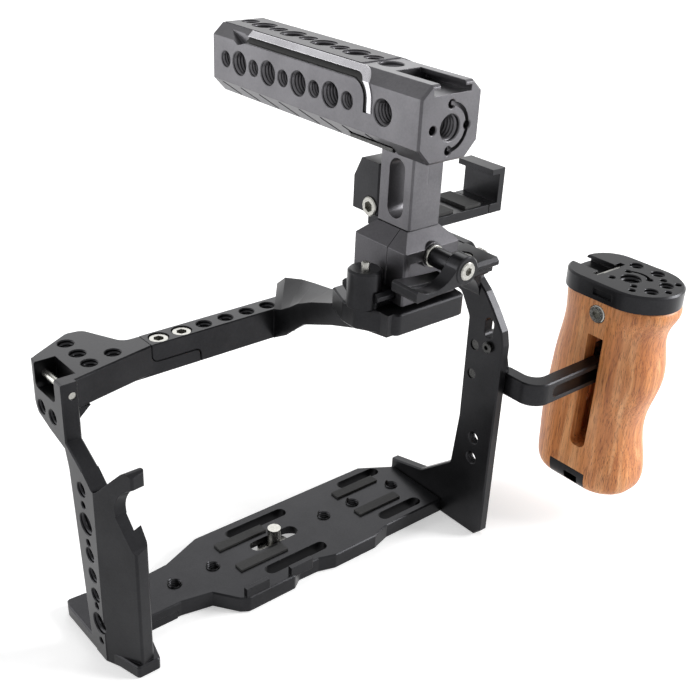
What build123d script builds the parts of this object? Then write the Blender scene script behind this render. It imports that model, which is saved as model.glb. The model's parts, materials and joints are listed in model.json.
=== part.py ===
from build123d import *
import math
import os

# A cage that holds a camera body, with a top handle, a clamp for a flat drive and a wooden side grip.
# Millimetres.  +Z is up, +X is the right side as seen from the front, and the front faces -Y.
# The origin is the tripod socket in the flat underside, straight below the middle of the top handle.

# ---- driving dimensions: the frame -----------------------------------------------------------------
LEFT_FACE = -126.4        # outer face of the left side
RIGHT_INNER = 56.6        # inner face of the right side
RIGHT_FACE = 61.6         # outer face of the right side
BAR_TOP = 120.0           # top of the bar over the left half
BAR_BOTTOM = 106.0
BAR_FRONT = 13.0
BAR_BACK = 23.5
PLATE_TOP = 145.0         # top of the raised plate in the middle
PLATE_BOTTOM = 136.0
NOSE_FRONT = -61.0
NOSE_HALF = 17.7
WALL = 7.0                # thickness of the left wall
BASE_TOP = 8.0            # top of the bottom plate
LAP_LEVEL = 112.0         # where the two halves of the bar overlap
LAP_START = -82.4
LAP_END = -59.4
LAP_GAP = 0.3             # seam that shows at both ends of the lap
SEAM = 0.05               # gap between pieces that are screwed together
BAR_ROW_X = -76.4         # first of the row of holes along the bar
BAR_ROW_Y = 18.0
STRAP_X = -121.9          # axis of the pin that a strap is looped round
STRAP_Z = 114.2
STRAP_RADIUS = 1.6
FOOT_END = -104.0         # right edge of the left frame's foot
TONGUE_END = -90.0        # end of the thin tongue that lies under the bottom plate
TONGUE_HALF = 12.0
TONGUE_TOP = 3.9
TONGUE_SCREWS = ((-98.0, -7.0), (-98.0, 7.0))
CAMERA_SCREW_X = -30.0
CORNER_SCREWS = ((-28.0, 140.5), (-18.0, 140.5))   # Y and Z of the screws into the top frame
EDGE_SCREWS = ((-18.0, 4.0), (4.0, 4.0))           # Y and Z of the screws into the bottom plate
WINDOW_Y = -43.0
WINDOW_Z = 102.0

# ---- driving dimensions: threads and screws --------------------------------------------------------
QUARTER = 3.2             # radius of a 1/4-20 tapped hole
THREE_EIGHTHS = 4.8       # radius of a 3/8-16 tapped hole
PIN_HOLE = 1.6            # radius of a locating pin hole
PIN_OFFSET = 8.54         # from a 3/8-16 hole to its locating pins
MOUTH = 0.35              # chamfer at the mouth of a hole
EDGE = 0.6                # chamfer that breaks the frame's edges
BAR_PITCH = 10.83
HANDLE_PITCH = 10.06
RUN = 0.05                # radial clearance of a running fit
M5_HEAD = 4.2
M5_SHANK = 2.5
M4_HEAD = 3.5
M4_SHANK = 2.0

# ---- driving dimensions: rail, clamp, riser and handle ---------------------------------------------
RAIL_Y = -43.3            # middle of the rail, the clamp and the riser
RAIL_TOP = 152.0
RAIL_HALF = 10.5
RAIL_LEFT = -23.0
RAIL_RIGHT = 44.0
RAIL_SCREW_XS = (-10.0, 34.0)
RAIL_END_Z = 148.4
STOP_X = -22.4            # round stop at the rail's left end, and the sprung pin in it
STOP_Y = -45.0
STOP_TOP = 160.0
STOP_RADIUS = 6.7
STOP_PIN_X = -23.4
STOP_PIN_Y = -46.4
CLAMP_HALF = 14.3
CLAMP_FRONT = -58.0
CLAMP_SPLIT = -48.0
CLAMP_BACK = -28.7
CLAMP_BOTTOM = 146.4
CLAMP_TOP = 173.6
SHOULDER = 6.0
SCREW_Z = 164.5           # axis of the clamp's screw and lever
SCREW_RADIUS = 3.0
GUIDE_XS = (-9.5, 9.5)    # pins that keep the clamp's jaw straight
GUIDE_Z = 158.0
GUIDE_RADIUS = 1.6
HUB_FRONT = -76.7         # front of the lever's hub
RISER_SCREW_XS = (-5.3, 5.3)
RISER_SCREW_Y = -37.3
HANDLE_SCREW_YS = (-50.3, -37.3)
POST_HALF = 8.0
POST_FRONT = -52.4
POST_BACK = -34.1
HANDLE_BOTTOM = 202.0
HANDLE_TOP = 230.8
HANDLE_HALF = 15.0
HANDLE_FRONT = -61.2
HANDLE_BACK = 70.0
SIDE_ROW_Y = 59.2         # first of the handle's row of side holes
SIDE_ROW_Z = 217.4
TOP_ROW_Y = 62.2          # first of the handle's row of top holes
FRONT_HOLE_Z = 214.6
HANDLE_SEAT = 204.8       # where the heads of the handle's screws sit
SHOE_HALF = 9.3           # half of the width of a cold shoe's slot
SHOE_LIP = 6.3            # half of the gap between the shoe's lips
SHOE_FLOOR = 4.0          # depth of the shoe's floor
SHOE_ROOF = 1.7           # thickness of its lips
SHOE_END = -37.5
GROOVE_BEND = (-24.0, 220.0)       # Y and Z round which the handle's long groove turns down
GROOVE_RADII = (6.6, 8.8)
GROOVE_FLOOR = 11.6       # from the middle of the handle to the groove's floor

# ---- driving dimensions: drive clamp ---------------------------------------------------------------
DRIVE_BASE = 165.0
DRIVE_FLOOR = 169.0
DRIVE_TOP = 184.0
DRIVE_FRONT = -38.5
DRIVE_BACK = -18.5
DRIVE_LEFT = 18.6
BRACKET_BOTTOM = 174.2
BRACKET_TOP = 195.2
BRACKET_BACK = -19.0
JAW_X = 56.0
JAW_SCREW_Y = -28.5
JAW_SCREW_Z = 167.0
JAW_SCREW_RADIUS = 1.5
JAW_GUIDE_YS = (-33.5, -23.5)
JAW_GUIDE_RADIUS = 1.2
PINCH_Y = -29.8
PINCH_Z = 177.2
PINCH_HEAD = 3.9

# ---- driving dimensions: side arm and grip ---------------------------------------------------------
ARM_BOTTOM = 79.0
ARM_TOP = 90.0
ARM_FRONT = -68.8
ARM_BACK = -61.7
ARM_END = 131.0
ARM_MIDDLE = 84.5
ARM_GAP = 0.2             # between the arm and the right side
ARM_SCREWS = ((-34.5, 99.5), (-34.5, 84.5))        # Y and Z
GRIP_X = 123.1
GRIP_Y = -64.6
GRIP_BOTTOM = 20.0
WOOD_TOP = 120.5
CAP_TOP = 129.0
GRIP_HALF_X = 19.6
CAP_HALF_Y = 27.3
CAP_HOLE_X = 120.5
CAP_HOLE_Y = -68.0
CAP_SHOE_X = 121.4
CAP_SHOE_END = -57.0
GRIP_SCREW_Y = -64.5
GRIP_SCREW_Z = 114.0
BLOCK_SCREW_X = 119.0     # screw that pinches the block on the arm


# ---- helpers ---------------------------------------------------------------------------------------
def block(x, y, z):
    """A box from three (low, high) pairs."""
    middle = Pos((x[0] + x[1]) / 2, (y[0] + y[1]) / 2, (z[0] + z[1]) / 2)
    return middle * Box(x[1] - x[0], y[1] - y[0], z[1] - z[0])


def outline(points, radius=0.0, corners=()):
    """A closed flat outline, with the corners nearest the given points rounded."""
    face = make_face(Polyline(*points, close=True))
    picked = [min(face.vertices(), key=lambda v: (v.X - c[0]) ** 2 + (v.Y - c[1]) ** 2) for c in corners]
    return fillet(picked, radius) if picked else face


def prism(face, height, edge):
    """An outline drawn out along +Z, with both of its rims broken by a chamfer."""
    solid = extrude(face, height)
    if edge > 0:
        rims = solid.faces().sort_by(Axis.Z)[0].edges() + solid.faces().sort_by(Axis.Z)[-1].edges()
        solid = chamfer(rims, edge)
    return solid


def prism_z(face, low, high, edge=0.0):
    """An outline in X and Y, drawn out from one height to another."""
    return Pos(0, 0, low) * prism(face, high - low, edge)


def prism_x(face, low, high, edge=0.0):
    """An outline in Y and Z, drawn out along X."""
    return Plane.YZ.offset(low) * prism(face, high - low, edge)


def prism_y(face, low, high, edge=0.0):
    """An outline in X and Z, drawn out along Y."""
    return Plane.XZ.offset(-high) * prism(face, high - low, edge)


def rod(start, direction, radius, length):
    """A cylinder that starts at a point and runs along a direction."""
    return Plane(origin=start, z_dir=direction) * (Pos(0, 0, length / 2) * Cylinder(radius, length))


def drill(start, direction, radius, depth):
    """The cutter for a hole with a chamfered mouth at its start."""
    cutter = Pos(0, 0, depth / 2 - 0.5) * Cylinder(radius, depth + 1.0)
    cutter += Pos(0, 0, MOUTH / 2) * Cone(radius + MOUTH, radius, MOUTH)
    return Plane(origin=start, z_dir=direction) * cutter


def socket_screw(start, direction, head, shank, length, head_height, socket):
    """A cap screw: the head's face is at the start, and the shank points along the direction."""
    screw = Pos(0, 0, head_height / 2) * Cylinder(head, head_height)
    screw = chamfer(screw.edges().group_by(Axis.Z)[0], 0.4)
    screw += Pos(0, 0, head_height + length / 2) * Cylinder(shank, length)
    screw -= extrude(RegularPolygon(socket, 6), head_height * 0.6)
    return Plane(origin=start, z_dir=direction) * screw


def slot_cutter(start, direction, along, radius, length, depth):
    """The cutter for a slot with round ends, centred on its start."""
    plane = Plane(origin=start, x_dir=along, z_dir=direction)
    return plane * (Pos(0, 0, -0.5) * extrude(SlotOverall(length, 2 * radius), depth + 1.0))


def coil_spring(start, direction, radius, wire, turns, length):
    """A coil of round wire along a direction."""
    path = Helix(pitch=length / turns, height=length, radius=radius)
    section = Plane(origin=path @ 0, z_dir=path % 0) * Circle(wire)
    return Plane(origin=start, z_dir=direction) * sweep(section, path=path)


def bar_hole_x(index):
    """The holes along the bar are evenly spaced, and the first two hold the screws of the lap."""
    return BAR_ROW_X + BAR_PITCH * index


# ---- left frame: corner block, side wall with its column of holes, wing and foot -------------------
def column_y(z):
    """The column of holes in the side wall leans a little towards the front as it goes down."""
    return -6.4 - 0.0955 * (79.3 - z)


def make_left_frame():
    corner = outline(
        [(LEFT_FACE, 3.7), (LAP_START, BAR_FRONT), (LAP_START + 4, BAR_FRONT), (LAP_START + 4, BAR_BACK),
         (-89.5, BAR_BACK), (-98.5, 41.5), (-105.5, 42.5), (LEFT_FACE, 30.5)], 5.0,
        [(LEFT_FACE, 3.7), (-89.5, BAR_BACK), (-98.5, 41.5), (-105.5, 42.5), (LEFT_FACE, 30.5)])
    frame = prism_z(corner, 107.0, BAR_TOP, EDGE)
    # lower half of the lap
    lap_end = LAP_END - LAP_GAP
    lap_corner = (lap_end, LAP_LEVEL)
    lap = outline([(-95.0, BAR_BOTTOM), (-95.0, LAP_LEVEL), lap_corner, (lap_end, BAR_BOTTOM)],
                  2.5, [lap_corner])
    frame += prism_y(lap, BAR_FRONT, BAR_BACK, 0.35)

    wall = outline(
        [(3.7, BAR_TOP), (30.5, BAR_TOP), (30.5, 104.0), (26.9, 97.6), (17.0, 94.3), (5.4, 91.5), (3.2, 84.0),
         (-4.4, 0.0), (-17.2, 0.0), (-16.0, 82.0), (-8.0, 88.5), (3.7, 95.0)], 4.0,
        [(30.5, 104.0), (17.0, 94.3), (-8.0, 88.5)])
    frame += prism_x(wall, LEFT_FACE, LEFT_FACE + WALL, EDGE) & prism_z(
        outline([(LEFT_FACE, -20.0), (-80.0, -20.0), (-80.0, 50.0), (-105.5, 42.5), (LEFT_FACE, 30.5)], 5.0,
                [(LEFT_FACE, 30.5)]), 0.0, 130.0)
    frame += prism_y(outline([(-119.6, 107.2), (-119.6, 102.0), (-114.0, 107.2)]), 5.5, 28.0)

    wing = outline([(LEFT_FACE, -16.0), (-118.8, -33.0), (-112.6, -31.6), (-113.4, -27.8), (-116.6, -28.2),
                    (LEFT_FACE + WALL, -20.0), (LEFT_FACE + WALL, -8.0), (LEFT_FACE, -8.0)], 1.2,
                   [(-118.8, -33.0), (-112.6, -31.6)])
    wing = prism_z(wing, 0.0, 104.0)
    wing -= prism_x(outline([(0.0, 93.0), (-8.0, 88.5), (-16.0, 82.4), (-29.5, 97.4), (-34.5, 95.0),
                             (-40.0, 88.0), (-40.0, 110.0), (0.0, 110.0)], 2.5, [(-16.0, 82.4), (-29.5, 97.4)]),
                    -135.0, -100.0)
    wing -= rod((-135.0, -37.5, 79.0), (1, 0, 0), 12.5, 40.0)
    wing -= prism_x(outline([(-36.0, 81.0), (-25.0, 76.0), (-31.5, 62.0), (-38.0, 56.0)]), -135.0, -100.0)
    frame += wing

    foot = outline([(LEFT_FACE, 17.0), (LEFT_FACE, -13.5), (-121.0, -33.4), (-111.0, -33.4), (-107.0, -17.0),
                    (FOOT_END, -14.0), (FOOT_END, 14.0), (-117.0, 20.5), (-125.0, 21.0)], 1.5,
                   [(-121.0, -33.4), (-111.0, -33.4), (-125.0, 21.0)])
    frame += prism_z(foot, 0.0, 6.0, EDGE)
    frame += block((FOOT_END - 2, TONGUE_END), (-TONGUE_HALF, TONGUE_HALF), (0.0, TONGUE_TOP))

    # strap window through the top and the outer face, and the bores for its pin
    window = block((LEFT_FACE - 2, -117.4), (9.5, 26.5), (109.5, BAR_TOP + 2))
    frame -= fillet(window.edges().filter_by(Axis.X).group_by(Axis.Z)[0], 2.5)
    frame -= rod((STRAP_X, 0.0, STRAP_Z), (0, 1, 0), STRAP_RADIUS, 32.0)

    # pocket for the tongue of the top frame, and the tapped holes below it
    pocket_corner = (LAP_START - LAP_GAP, LAP_LEVEL)
    pocket = outline([pocket_corner, (LAP_START - LAP_GAP, BAR_TOP + 1), (LAP_END + 1, BAR_TOP + 1),
                      (LAP_END + 1, LAP_LEVEL)], 3.0, [pocket_corner])
    frame -= prism_y(pocket, BAR_FRONT - 2, BAR_BACK + 2)
    for index in range(2):
        frame -= rod((bar_hole_x(index), BAR_ROW_Y, BAR_BOTTOM), (0, 0, 1), M5_SHANK, 8.0)

    for x, y in ((-109.4, 33.9), (-109.4, 23.7), (-109.4, 14.0), (-97.9, 16.6)):
        frame -= drill((x, y, BAR_TOP), (0, 0, -1), QUARTER, 14.0)
    for y in (23.0, 13.4):
        frame -= drill((LEFT_FACE, y, 101.8), (1, 0, 0), QUARTER, 8.0)
    for z in (79.3, 49.9, 40.3, 30.8):
        frame -= drill((LEFT_FACE, column_y(z), z), (1, 0, 0), QUARTER, 8.0)
    for z in (64.0, 17.1):
        frame -= drill((LEFT_FACE, column_y(z), z), (1, 0, 0), THREE_EIGHTHS, 8.0)
        for side in (-PIN_OFFSET, PIN_OFFSET):
            frame -= drill((LEFT_FACE, column_y(z + side), z + side), (1, 0, 0), PIN_HOLE, 5.0)
    for x, y in TONGUE_SCREWS:
        frame -= rod((x, y, -1.0), (0, 0, 1), M4_SHANK, 6.0)
        frame -= rod((x, y, -1.0), (0, 0, 1), M4_HEAD + 0.2, 3.2)
    return frame


def make_strap_pin():
    return rod((STRAP_X, 4.1, STRAP_Z), (0, 1, 0), STRAP_RADIUS, 26.2)


# ---- top frame: bar, rising arm, raised plate with its nose, and the corner to the right side ------
def make_top_frame():
    seam = LAP_LEVEL + SEAM
    bar = outline([(LAP_START, seam), (LAP_START, BAR_TOP), (-10.0, BAR_TOP), (-10.0, BAR_BOTTOM),
                   (LAP_END, BAR_BOTTOM), (LAP_END, seam)], 2.7, [(LAP_START, seam), (LAP_END, seam)])
    frame = prism_y(bar, BAR_FRONT, BAR_BACK, 0.35)

    left_side = [(13.0, 120.0), (8.0, 121.7), (2.3, 125.0), (-3.7, 129.0), (-12.4, 133.0), (-26.4, 138.0),
                 (-40.5, 143.0), (-47.0, 145.0), (-59.0, 145.0),
                 (-59.0, 136.0), (-45.0, 134.0), (-26.0, 128.0), (-8.0, 121.0), (4.0, 111.0), (13.0, 106.0)]
    right_side = [(30.0, 122.5), (24.0, 127.5), (12.0, 131.0), (3.0, 132.5), (-8.0, 134.0), (-24.0, 137.8),
                  (-38.0, 142.5), (-47.0, 145.0), (-59.0, 145.0),
                  (-59.0, 136.0), (-45.0, 134.0), (-26.0, 128.0), (-8.0, 121.0), (10.0, 111.0), (30.0, 107.0)]
    faces = [Plane.YZ.offset(x) * make_face(Polyline(*side, close=True))
             for x, side in ((-22.0, left_side), (-8.0, right_side))]
    frame += loft(faces, ruled=True)

    plate = outline(
        [(-NOSE_HALF - 0.6, NOSE_FRONT), (NOSE_HALF, NOSE_FRONT), (NOSE_HALF + 0.8, -53.5), (24.0, -44.5),
         (36.0, -39.5), (RIGHT_INNER - SEAM, -38.0), (RIGHT_INNER - SEAM, -9.0), (30.0, -19.0),
         (8.0, -26.0), (-22.0, -26.0), (-27.0, -38.0), (-27.5, -46.0)], 3.0,
        [(-NOSE_HALF - 0.6, NOSE_FRONT), (NOSE_HALF, NOSE_FRONT), (24.0, -44.5), (-27.0, -38.0), (-27.5, -46.0)])
    frame += prism_z(plate, PLATE_BOTTOM, PLATE_TOP, EDGE)
    face_x = RIGHT_INNER - SEAM
    straight = Polyline((44.0, PLATE_BOTTOM + 1), (face_x, PLATE_BOTTOM + 1), (face_x, 124.0))
    hollow = ThreePointArc((face_x, 124.0), (52.8, 132.4), (44.0, PLATE_BOTTOM + 1))
    gusset = make_face([straight, hollow])
    frame += prism_y(gusset, -34.0, -12.0)

    for index in range(2):
        place = (bar_hole_x(index), BAR_ROW_Y, BAR_TOP)
        frame -= rod(place, (0, 0, -1), M5_HEAD + 0.15, 5.0)
        frame -= rod(place, (0, 0, -1), M5_SHANK + 0.15, 12.0)
    for index in range(2, 6):
        frame -= drill((bar_hole_x(index), BAR_ROW_Y, BAR_TOP), (0, 0, -1), QUARTER, 14.0)
    for x in RAIL_SCREW_XS:
        frame -= rod((x, RAIL_Y, PLATE_BOTTOM - 1), (0, 0, 1), M4_SHANK, 12.0)
    for y, z in CORNER_SCREWS:
        frame -= rod((RIGHT_INNER + 1, y, z), (-1, 0, 0), M4_SHANK, 12.0)
    for x in (30.0, 43.0):
        frame -= drill((x, -29.0, PLATE_TOP), (0, 0, -1), QUARTER, 10.0)
    return frame


def make_lap_screws():
    top = BAR_TOP - 0.5
    screws = [socket_screw((bar_hole_x(index), BAR_ROW_Y, top), (0, 0, -1), M5_HEAD, M5_SHANK, 8.5, 4.4, 2.3)
              for index in range(2)]
    return Compound(children=screws)


# ---- right side, its screws and the bottom plate ---------------------------------------------------
def make_right_plate():
    profile = outline(
        [(-7.0, 145.0), (-23.0, 145.0), (-28.5, 140.0), (-32.0, 131.5), (-37.5, 127.0), (-43.0, 120.5),
         (-49.4, 111.6), (-51.0, 105.0), (-51.0, 4.0), (-47.0, 0.0), (10.0, 0.0), (14.0, 4.0), (14.0, 12.0),
         (-8.0, 17.0), (-27.0, 32.0), (-29.5, 60.0), (-29.0, 112.0), (-23.0, 122.0), (-7.0, 127.0)], 4.0,
        [(-23.0, 145.0), (-28.5, 140.0), (-8.0, 17.0), (-27.0, 32.0), (-29.0, 112.0), (-23.0, 122.0)])
    plate = prism_x(profile, RIGHT_INNER, RIGHT_FACE, EDGE)
    plate -= slot_cutter((RIGHT_INNER, -42.0, 111.0), (1, 0, 0), (0, 0, 1), 2.6, 10.0, 6.0)
    plate -= drill((RIGHT_FACE, WINDOW_Y, WINDOW_Z), (-1, 0, 0), M4_SHANK, 6.0)
    for y, z in ((-40.0, 52.0), (-40.0, 41.0)):
        plate -= drill((RIGHT_FACE, y, z), (-1, 0, 0), QUARTER, 6.0)
    for y, z in ARM_SCREWS:
        plate -= rod((RIGHT_INNER - 1, y, z), (1, 0, 0), M5_SHANK, 8.0)
    for y, z in CORNER_SCREWS + EDGE_SCREWS:
        plate -= rod((RIGHT_INNER - 1, y, z), (1, 0, 0), M4_SHANK + 0.2, 8.0)
        plate -= rod((RIGHT_FACE - 2.6, y, z), (1, 0, 0), M4_HEAD + 0.2, 4.0)
    return plate


def make_right_plate_screws():
    screws = [socket_screw((RIGHT_FACE - 0.2, y, z), (-1, 0, 0), M4_HEAD, M4_SHANK, 10.0, 2.3, 1.4)
              for y, z in CORNER_SCREWS + EDGE_SCREWS]
    return Compound(children=screws)


def make_window_screw():
    head = (RIGHT_INNER - 1.8, WINDOW_Y, WINDOW_Z)
    return socket_screw(head, (1, 0, 0), 2.6, M4_SHANK - SEAM, 5.0, 1.8, 1.2)


def make_bottom_plate():
    front = [(-88.0, -12.0), (-74.0, -15.0), (-66.6, -25.3), (-63.0, -27.6), (-38.1, -27.4), (-33.3, -24.1),
             (-22.4, -24.4), (-14.2, -27.0), (10.0, -27.0), (20.0, -24.0), (RIGHT_INNER - SEAM, -24.0)]
    back = [(RIGHT_INNER - SEAM, 12.0), (40.0, 22.0), (-60.0, 22.0), (-80.0, 14.0), (FOOT_END + SEAM, 12.0),
            (FOOT_END + SEAM, -12.0)]
    rounded = [(-66.6, -25.3), (-63.0, -27.6), (-38.1, -27.4), (-33.3, -24.1), (-14.2, -27.0), (40.0, 22.0),
               (-60.0, 22.0)]
    plate = prism_z(outline(front + back, 2.5, rounded), 0.0, BASE_TOP, EDGE)
    tongue_y = (-TONGUE_HALF - 1, TONGUE_HALF + 1)
    plate -= block((FOOT_END - 1, TONGUE_END + 0.2), tongue_y, (-1.0, TONGUE_TOP + SEAM))
    for x in (-64.0, -40.0):
        plate += block((x, x + 12.0), (-27.0, -24.6), (BASE_TOP - 1, BASE_TOP + 4.5))
    for x, y in TONGUE_SCREWS:
        plate -= rod((x, y, 0.0), (0, 0, 1), M4_SHANK, 6.6)
    for y, z in EDGE_SCREWS:
        plate -= rod((RIGHT_INNER + 1, y, z), (-1, 0, 0), M4_SHANK, 12.0)
    for x in (-84.0, -64.0, 0.0, 18.0, 44.0):
        plate -= drill((x, 0.0, 0.0), (0, 0, 1), QUARTER, BASE_TOP)
    # slot for the camera screw: narrow above, and wide below for its head
    plate -= slot_cutter((CAMERA_SCREW_X, 0.0, 0.0), (0, 0, 1), (1, 0, 0), QUARTER + 0.3, 26.0, 9.0)
    plate -= slot_cutter((CAMERA_SCREW_X, 0.0, 0.0), (0, 0, 1), (1, 0, 0), 8.2, 36.0, 4.5)
    # long windows that save weight
    for x, length in ((CAMERA_SCREW_X, 34.0), (34.0, 26.0)):
        for y in (-17.5, 14.5):
            plate -= slot_cutter((x, y, 0.0), (0, 0, 1), (1, 0, 0), 3.0, length, 9.0)
    return plate


def make_base_screws():
    screws = [socket_screw((x, y, 0.3), (0, 0, 1), M4_HEAD, M4_SHANK, 4.2, 1.9, 1.4)
              for x, y in TONGUE_SCREWS]
    return Compound(children=screws)


def make_camera_screw():
    screw = Pos(CAMERA_SCREW_X, 0.0, 2.4) * Cylinder(7.8, 3.9)
    screw += Pos(CAMERA_SCREW_X, 0.0, 9.0) * Cylinder(3.1, 10.0)
    screw -= block((CAMERA_SCREW_X - 8.5, CAMERA_SCREW_X + 8.5), (-0.8, 0.8), (0.0, 2.0))
    return screw


def make_base_pads():
    pads = [block((x, x + 26.0), (y, y + 5.0), (BASE_TOP, BASE_TOP + 1.0))
            for x in (-56.0, 14.0) for y in (-11.0, 6.5)]
    return Compound(children=pads)


# ---- rail on the raised plate, and the stop at its left end ----------------------------------------
def rail_outline(grow):
    """The rail's section across the rail, in Y and Z, grown by a clearance."""
    rail = [(7.4, 0.0), (7.4, 1.8), (RAIL_HALF, 3.9), (RAIL_HALF, 5.6), (9.1, 7.0)]
    right = [(RAIL_Y + y + grow, PLATE_TOP + z + (grow if index == 4 else 0))
             for index, (y, z) in enumerate(rail)]
    left = [(2 * RAIL_Y - y, z) for y, z in reversed(right)]
    return right + left


def make_rail():
    rail = prism_x(outline(rail_outline(0.0)), RAIL_LEFT, RAIL_RIGHT)
    rail -= rod((STOP_X, STOP_Y, PLATE_TOP - 1), (0, 0, 1), STOP_RADIUS + SEAM, 10.0)
    for x in (-1.0, 7.0, 15.0, 23.0):
        rail -= block((x - 1.6, x + 1.6), (RAIL_Y - 20, RAIL_Y + 20), (RAIL_TOP - 1.6, RAIL_TOP + 1))
    for x in RAIL_SCREW_XS:
        rail -= rod((x, RAIL_Y, PLATE_TOP - 1), (0, 0, 1), M4_SHANK + 0.2, 10.0)
        rail -= rod((x, RAIL_Y, RAIL_TOP - 3.6), (0, 0, 1), M4_HEAD + 0.2, 5.0)
    rail -= rod((RAIL_RIGHT + 1, RAIL_Y, RAIL_END_Z), (-1, 0, 0), 1.5, 6.0)
    return rail


def make_rail_screws():
    screws = [socket_screw((x, RAIL_Y, RAIL_TOP - 0.4), (0, 0, -1), M4_HEAD, M4_SHANK, 9.0, 3.1, 1.5)
              for x in RAIL_SCREW_XS]
    return Compound(children=screws)


def make_rail_end_screw():
    return socket_screw((RAIL_RIGHT + 2.4, RAIL_Y, RAIL_END_Z), (-1, 0, 0), 3.2, 1.5, 4.6, 2.35, 1.3)


def make_rail_stop():
    middle = (PLATE_TOP + STOP_TOP) / 2
    stop = Pos(STOP_X, STOP_Y, middle) * Cylinder(STOP_RADIUS, STOP_TOP - PLATE_TOP - SEAM)
    stop = chamfer(stop.edges().group_by(Axis.Z)[-1], 0.8)
    stop -= rod((STOP_PIN_X, STOP_PIN_Y, 147.0), (0, 0, 1), 2.6, 11.0)
    stop -= rod((STOP_PIN_X, STOP_PIN_Y, 150.0), (0, 0, 1), 1.7 + RUN, 20.0)
    return stop


def make_stop_pin():
    pin = rod((STOP_PIN_X, STOP_PIN_Y, 151.6), (0, 0, 1), 1.7, 11.6)
    pin += rod((STOP_PIN_X, STOP_PIN_Y, 154.6), (0, 0, 1), 2.4, 0.9)
    return chamfer(pin.edges().group_by(Axis.Z)[-1], 0.4)


def make_stop_spring():
    return coil_spring((STOP_PIN_X, STOP_PIN_Y, 147.4), (0, 0, 1), 2.1, 0.25, 5, 6.9)


# ---- clamp on the rail: fixed body, moving jaw, screw and lever ------------------------------------
def clamp_block():
    whole = block((-CLAMP_HALF, CLAMP_HALF), (CLAMP_FRONT, CLAMP_BACK), (CLAMP_BOTTOM, CLAMP_TOP))
    whole = chamfer(whole.faces().sort_by(Axis.Z)[-1].edges(), SHOULDER)
    whole = chamfer(whole.edges().filter_by(Axis.Z), EDGE)
    return whole - prism_x(outline(rail_outline(0.35)), -20.0, 20.0)


def make_clamp_body():
    body = clamp_block() & block((-20, 20), (CLAMP_SPLIT + 0.15, 0), (140, 180))
    body -= rod((0, CLAMP_SPLIT - 1, SCREW_Z), (0, 1, 0), SCREW_RADIUS + RUN, 17.0)
    for x in GUIDE_XS:
        body -= rod((x, CLAMP_SPLIT - 1, GUIDE_Z), (0, 1, 0), GUIDE_RADIUS + 0.6, 7.0)
    for x in RISER_SCREW_XS:
        body -= rod((x, RISER_SCREW_Y, 150.0), (0, 0, 1), M4_SHANK + 0.2, 30.0)
        body -= rod((x, RISER_SCREW_Y, 150.0), (0, 0, 1), M4_HEAD + 0.2, 8.5)
    return body


def make_clamp_jaw():
    jaw = clamp_block() & block((-20, 20), (-70, CLAMP_SPLIT - 0.15), (140, 180))
    jaw -= block((-11.4, 20), (CLAMP_FRONT - 1, CLAMP_FRONT + 4.0), (154.0, 163.2))
    jaw += rod((0, CLAMP_FRONT, SCREW_Z), (0, 1, 0), 5.2, 5.0)
    jaw -= rod((0, CLAMP_FRONT - 1, SCREW_Z), (0, 1, 0), SCREW_RADIUS + RUN, 14.0)
    for x in GUIDE_XS:
        jaw -= rod((x, CLAMP_SPLIT + 1, GUIDE_Z), (0, -1, 0), GUIDE_RADIUS, 3.6)
    return jaw


def make_jaw_guide_pins():
    pins = [rod((x, CLAMP_SPLIT + 5.0, GUIDE_Z), (0, -1, 0), GUIDE_RADIUS, 7.5) for x in GUIDE_XS]
    return Compound(children=pins)


def make_clamp_screw():
    return rod((0, CLAMP_FRONT - 6.0, SCREW_Z), (0, 1, 0), SCREW_RADIUS, 30.2)


def make_clamp_collar():
    collar = rod((0, CLAMP_FRONT - 1.6, SCREW_Z), (0, 1, 0), 4.5, 1.5)
    bore = rod((0, CLAMP_FRONT - 3, SCREW_Z), (0, 1, 0), SCREW_RADIUS + RUN, 5.0)
    return chamfer(collar.edges(), 0.3) - bore


def make_clamp_lever():
    lever = rod((0, HUB_FRONT, SCREW_Z), (0, 1, 0), 5.7, 6.7)
    lever = chamfer(lever.edges(), 0.5)
    lever += rod((0, HUB_FRONT + 6, SCREW_Z), (0, 1, 0), 3.9, 10.9)
    tip = Polyline((-2.0, 159.2), (-24.4, 157.6), (-25.0, 158.4), (-25.0, 161.4), (-24.2, 162.2))
    blade = make_face([tip, ThreePointArc((-24.2, 162.2), (-12.0, 160.9), (-4.6, 167.8)),
                       Line((-4.6, 167.8), (-2.0, 159.2))])
    lever += prism_y(blade, HUB_FRONT + 0.3, HUB_FRONT + 6.5)
    low = Polyline((-2.0, 159.4), (-24.4, 157.6), (-25.0, 158.4), (-25.0, 161.4), (-24.2, 162.2))
    low = make_face([low, ThreePointArc((-24.2, 162.2), (-13.0, 160.9), (-2.0, 160.4)),
                     Line((-2.0, 160.4), (-2.0, 159.4))])
    lever += prism_y(low, HUB_FRONT + 6.3, -63.0)
    lever -= rod((0, HUB_FRONT - 1, SCREW_Z), (0, 1, 0), 3.7, 3.0)
    lever -= rod((0, CLAMP_FRONT - 6.0 - SEAM, SCREW_Z), (0, 1, 0), SCREW_RADIUS, 8.0)
    lever -= rod((0, HUB_FRONT, SCREW_Z), (0, 1, 0), 1.9, 14.0)
    return lever


def make_lever_screw():
    return socket_screw((0, HUB_FRONT - 0.6, SCREW_Z), (0, 1, 0), 3.6, 1.9, 10.0, 2.5, 1.7)


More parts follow.
